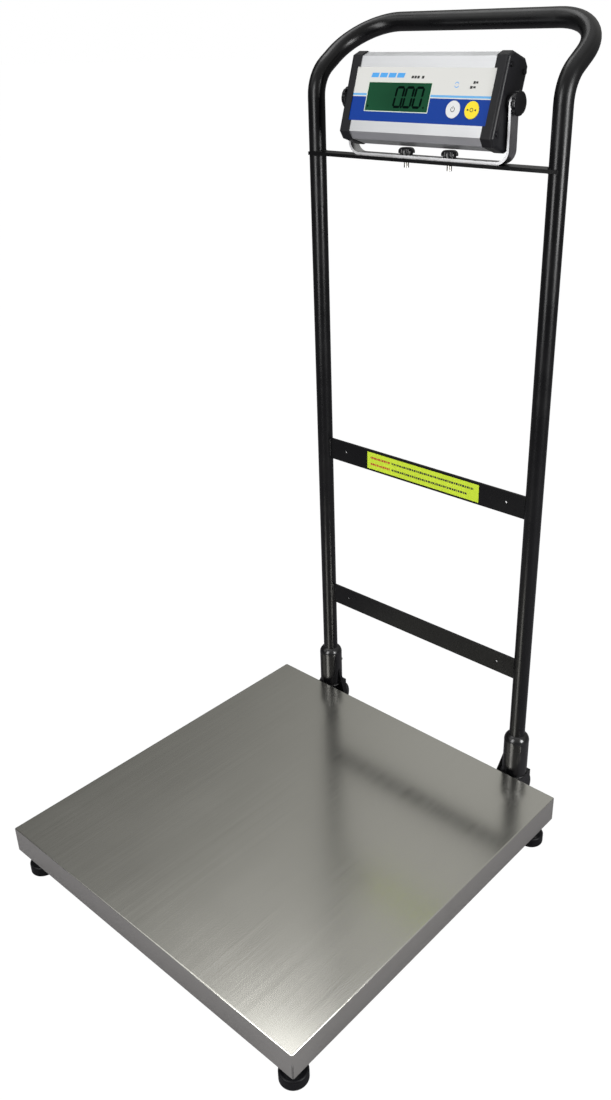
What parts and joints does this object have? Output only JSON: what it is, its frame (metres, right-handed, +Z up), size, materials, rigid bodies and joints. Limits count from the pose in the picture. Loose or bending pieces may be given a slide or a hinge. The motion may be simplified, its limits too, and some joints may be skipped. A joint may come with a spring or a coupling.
{
  "type": "animal weighing scale",
  "caption": "Low stainless platform scale on levelling feet, with a bent tube handle, transport wheels and a tilting weight display in a U bracket.",
  "frame": {"origin": "on the floor, in the middle of the whole scale's footprint", "axes": "+Z up, -Y towards the animal and the user who reads the display, +X to the display's right"},
  "size_m": [0.5, 0.62, 1.008],
  "materials": {
    "tray_stainless": "brushed stainless sheet",
    "black_enamel": "semi-gloss black enamel",
    "base_paint": "black powder coat",
    "zinc_plate": "bright zinc plate",
    "cell_aluminium": "clear anodised",
    "spider_zinc": "passivated steel",
    "black_rubber": "moulded matt",
    "wheel_tyre": "solid rubber",
    "wheel_plastic": "moulded nylon",
    "bracket_steel": "satin nickel plate",
    "housing_aluminium": "satin anodised extrusion",
    "black_plastic": "fine moulded texture",
    "overlay_film": "printed polyester film",
    "display_glass": "polarised glass",
    "display_green": "reflective liquid crystal",
    "board_green": "solder mask",
    "battery_wrap": "shrink wrap",
    "label_yellow": "vinyl label",
    "white_key": "printed dome",
    "yellow_key": "printed dome",
    "black_knob": "moulded"
  },
  "bodies": {
    "base": {"base_left_rail": "base_paint", "base_right_rail": "base_paint", "base_cross_rails": "base_paint", "base_cell_channel": "base_paint", "foot_weld_nuts": "zinc_plate", "foot_lock_nuts": "zinc_plate", "cable_gland": "black_plastic", "load_cell": "cell_aluminium", "load_cell_spacers": "zinc_plate", "load_cell_bolts": "zinc_plate", "spider_channel": "spider_zinc", "spider_arms": "spider_zinc", "tray_cushions": "black_rubber", "overload_stops": "zinc_plate", "wheel_forks": "black_enamel", "handle_sleeves": "black_enamel", "socket_gussets": "black_enamel", "sleeve_clamp_bolts": "zinc_plate", "wheel_axles": "zinc_plate", "axle_nuts": "zinc_plate", "handle_tube": "black_enamel", "lower_crossbar": "black_enamel", "middle_crossbar": "black_enamel", "label_strip": "label_yellow", "indicator_shelf": "black_enamel", "indicator_bracket": "bracket_steel"},
    "tray": {"tray": "tray_stainless"},
    "indicator": {"indicator_housing": "housing_aluminium", "front_overlay": "overlay_film", "display_window": "display_glass", "display_module": "display_green", "main_board": "board_green", "battery_pack": "battery_wrap", "rear_sockets": "black_plastic", "left_end_cap": "black_plastic", "right_end_cap": "black_plastic", "end_cap_screws": "zinc_plate"},
    "power_key": {"power_key": "white_key"},
    "zero_key": {"zero_key": "yellow_key"},
    "front_left_foot": {"front_left_foot_pad": "black_rubber", "front_left_foot_stud": "zinc_plate"},
    "front_right_foot": {"front_right_foot_pad": "black_rubber", "front_right_foot_stud": "zinc_plate"},
    "rear_left_foot": {"rear_left_foot_pad": "black_rubber", "rear_left_foot_stud": "zinc_plate"},
    "rear_right_foot": {"rear_right_foot_pad": "black_rubber", "rear_right_foot_stud": "zinc_plate"},
    "left_wheel": {"left_wheel_tyre": "wheel_tyre", "left_wheel_hub": "wheel_plastic"},
    "right_wheel": {"right_wheel_tyre": "wheel_tyre", "right_wheel_hub": "wheel_plastic"},
    "left_tilt_clamp": {"left_tilt_knob": "black_knob", "left_tilt_stud": "zinc_plate"},
    "left_thumbscrew": {"left_thumb_knob": "black_knob", "left_thumb_stud": "zinc_plate"},
    "right_tilt_clamp": {"right_tilt_knob": "black_knob", "right_tilt_stud": "zinc_plate"},
    "right_thumbscrew": {"right_thumb_knob": "black_knob", "right_thumb_stud": "zinc_plate"}
  },
  "joints": [
    {"name": "tray_lift", "type": "slide", "parent": "base", "child": "tray", "axis": [0, 0, 1], "range_m": [0, 0.08]},
    {"name": "front_left_foot_height", "type": "slide", "parent": "base", "child": "front_left_foot", "axis": [0, 0, -1], "range_m": [0, 0.01]},
    {"name": "front_right_foot_height", "type": "slide", "parent": "base", "child": "front_right_foot", "axis": [0, 0, -1], "range_m": [0, 0.01]},
    {"name": "rear_left_foot_height", "type": "slide", "parent": "base", "child": "rear_left_foot", "axis": [0, 0, -1], "range_m": [0, 0.01]},
    {"name": "rear_right_foot_height", "type": "slide", "parent": "base", "child": "rear_right_foot", "axis": [0, 0, -1], "range_m": [0, 0.01]},
    {"name": "left_wheel_spin", "type": "hinge", "parent": "base", "child": "left_wheel", "pos_m": [-0.1725, 0.21901, 0.028], "axis": [1, 0, 0], "continuous": true},
    {"name": "right_wheel_spin", "type": "hinge", "parent": "base", "child": "right_wheel", "pos_m": [0.1725, 0.21901, 0.028], "axis": [1, 0, 0], "continuous": true},
    {"name": "display_tilt", "type": "hinge", "parent": "base", "child": "indicator", "pos_m": [0, 0.21301, 0.916], "axis": [1, 0, 0], "range_deg": [-45, 40]},
    {"name": "left_tilt_clamp_turn", "type": "hinge", "parent": "indicator", "child": "left_tilt_clamp", "pos_m": [-0.1145, 0.21301, 0.916], "axis": [-1, 0, 0], "range_deg": [0, 720]},
    {"name": "left_thumbscrew_turn", "type": "hinge", "parent": "base", "child": "left_thumbscrew", "pos_m": [-0.031, 0.21301, 0.86], "axis": [0, 0, 1], "range_deg": [0, 720]},
    {"name": "right_tilt_clamp_turn", "type": "hinge", "parent": "indicator", "child": "right_tilt_clamp", "pos_m": [0.1145, 0.21301, 0.916], "axis": [1, 0, 0], "range_deg": [0, 720]},
    {"name": "right_thumbscrew_turn", "type": "hinge", "parent": "base", "child": "right_thumbscrew", "pos_m": [0.031, 0.21301, 0.86], "axis": [0, 0, 1], "range_deg": [0, 720]},
    {"name": "power_key_press", "type": "slide", "parent": "indicator", "child": "power_key", "axis": [0, 0.9511, -0.309], "range_m": [0, 0.0006], "stiffness_N_per_m": 3000},
    {"name": "zero_key_press", "type": "slide", "parent": "indicator", "child": "zero_key", "axis": [0, 0.9511, -0.309], "range_m": [0, 0.0006], "stiffness_N_per_m": 3000}
  ]
}
